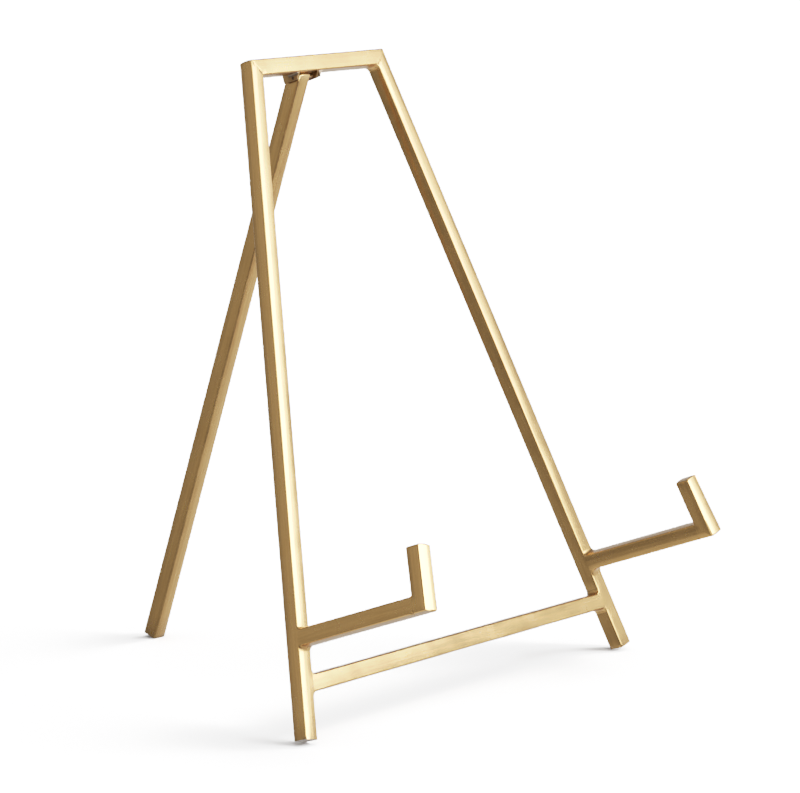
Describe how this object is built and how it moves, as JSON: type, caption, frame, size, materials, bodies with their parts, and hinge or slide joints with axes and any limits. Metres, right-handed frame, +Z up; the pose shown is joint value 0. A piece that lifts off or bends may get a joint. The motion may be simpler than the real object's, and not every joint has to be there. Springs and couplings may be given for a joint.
{
  "type": "display easel",
  "caption": "Square-bar brass display easel: a leaning front frame with ledge hooks for a picture, and a folding rear leg hinged under its top crossbar.",
  "frame": {"origin": "on the floor, in the middle of the box that the open easel fills", "axes": "+Z up; +Y from the front to the back; +X to the right seen from the front"},
  "size_m": [0.2302, 0.2516, 0.2821],
  "materials": {
    "brushed_brass": "satin, brushed along each bar",
    "hinge_brass": "satin, as cut",
    "braze_metal": "satin, hand filed",
    "pin_brass": "satin"
  },
  "bodies": {
    "front_frame": {"hinge_braze": "braze_metal", "hinge_pin": "pin_brass", "left_arm_braze": "braze_metal", "left_corner_braze": "braze_metal", "left_crossbar_braze": "braze_metal", "left_front_leg": "brushed_brass", "left_hinge_cheek": "hinge_brass", "left_ledge_arm": "brushed_brass", "left_ledge_lip": "brushed_brass", "left_lip_braze": "braze_metal", "lower_crossbar": "brushed_brass", "right_arm_braze": "braze_metal", "right_corner_braze": "braze_metal", "right_crossbar_braze": "braze_metal", "right_front_leg": "brushed_brass", "right_hinge_cheek": "hinge_brass", "right_ledge_arm": "brushed_brass", "right_ledge_lip": "brushed_brass", "right_lip_braze": "braze_metal", "top_crossbar": "brushed_brass"},
    "rear_leg": {"rear_leg": "brushed_brass"}
  },
  "joints": [
    {"name": "rear_leg_fold", "type": "hinge", "parent": "front_frame", "child": "rear_leg", "pos_m": [-0.0099, 0.02574, 0.27227], "axis": [-1, 0, 0], "range_deg": [0, 36.3]}
  ]
}
